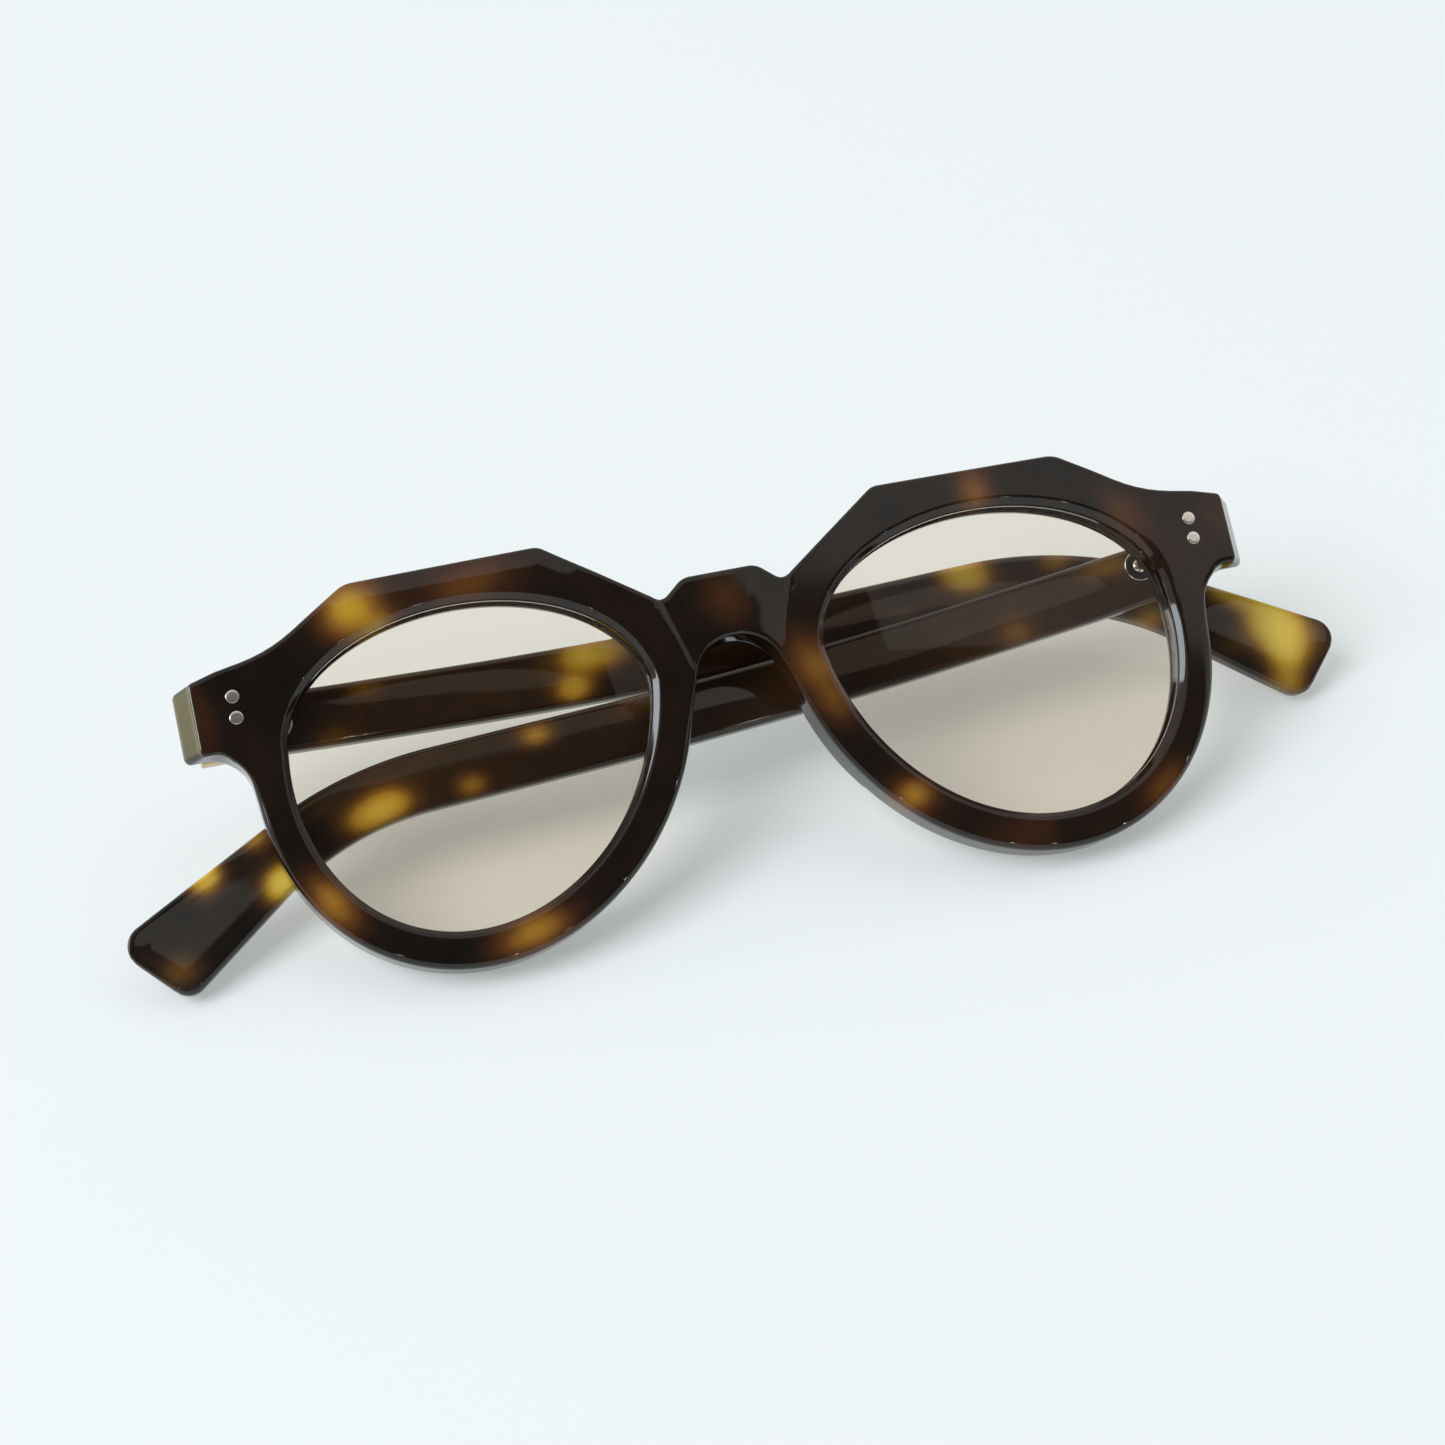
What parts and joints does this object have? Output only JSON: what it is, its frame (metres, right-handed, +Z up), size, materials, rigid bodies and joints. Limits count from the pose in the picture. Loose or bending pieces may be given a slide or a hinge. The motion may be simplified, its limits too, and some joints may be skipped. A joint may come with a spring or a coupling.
{
  "type": "eyeglasses",
  "caption": "Full-rim acetate eyeglasses with crown-topped rims, keyhole bridge, riveted barrel hinges and bent temple tips, shown folded; they hold lenses before the eyes.",
  "frame": {"origin": "on the surface the folded glasses rest on, under the middle of their bounding box", "axes": "+X from the left end piece to the right one as seen from the front, +Z up, and the front leans back towards +Y"},
  "size_m": [0.1706, 0.0464, 0.0382],
  "materials": {
    "acetate": "polished tortoiseshell, near black with amber and red-brown blotches",
    "lens": "clear with a faint warm tint",
    "hinge": "bright",
    "rivet": "ground flush with the front"
  },
  "bodies": {
    "front_body": {"front": "acetate", "left_lens": "lens", "left_nose_pad": "acetate", "left_front_hinge": "hinge", "left_hinge_screw": "hinge", "left_upper_front_rivet": "rivet", "left_lower_front_rivet": "rivet", "right_lens": "lens", "right_nose_pad": "acetate", "right_front_hinge": "hinge", "right_hinge_screw": "hinge", "right_upper_front_rivet": "rivet", "right_lower_front_rivet": "rivet"},
    "left_temple_body": {"left_temple": "acetate", "left_temple_hinge": "hinge", "left_first_temple_rivet": "hinge", "left_second_temple_rivet": "hinge"},
    "right_temple_body": {"right_temple": "acetate", "right_temple_hinge": "hinge", "right_first_temple_rivet": "hinge", "right_second_temple_rivet": "hinge"}
  },
  "joints": [
    {"name": "right_fold", "type": "hinge", "parent": "front_body", "child": "right_temple_body", "pos_m": [0.06678, 0.01268, 0.02076], "axis": [0, -0.7782, -0.628], "range_deg": [0, 91.3]},
    {"name": "left_fold", "type": "hinge", "parent": "front_body", "child": "left_temple_body", "pos_m": [-0.06882, 0.01268, 0.02076], "axis": [0, 0.7782, 0.628], "range_deg": [0, 87.6]}
  ],
  "couplings": [
    {"joint": "left_fold", "follows": "right_fold", "ratio": 0.9594}
  ]
}
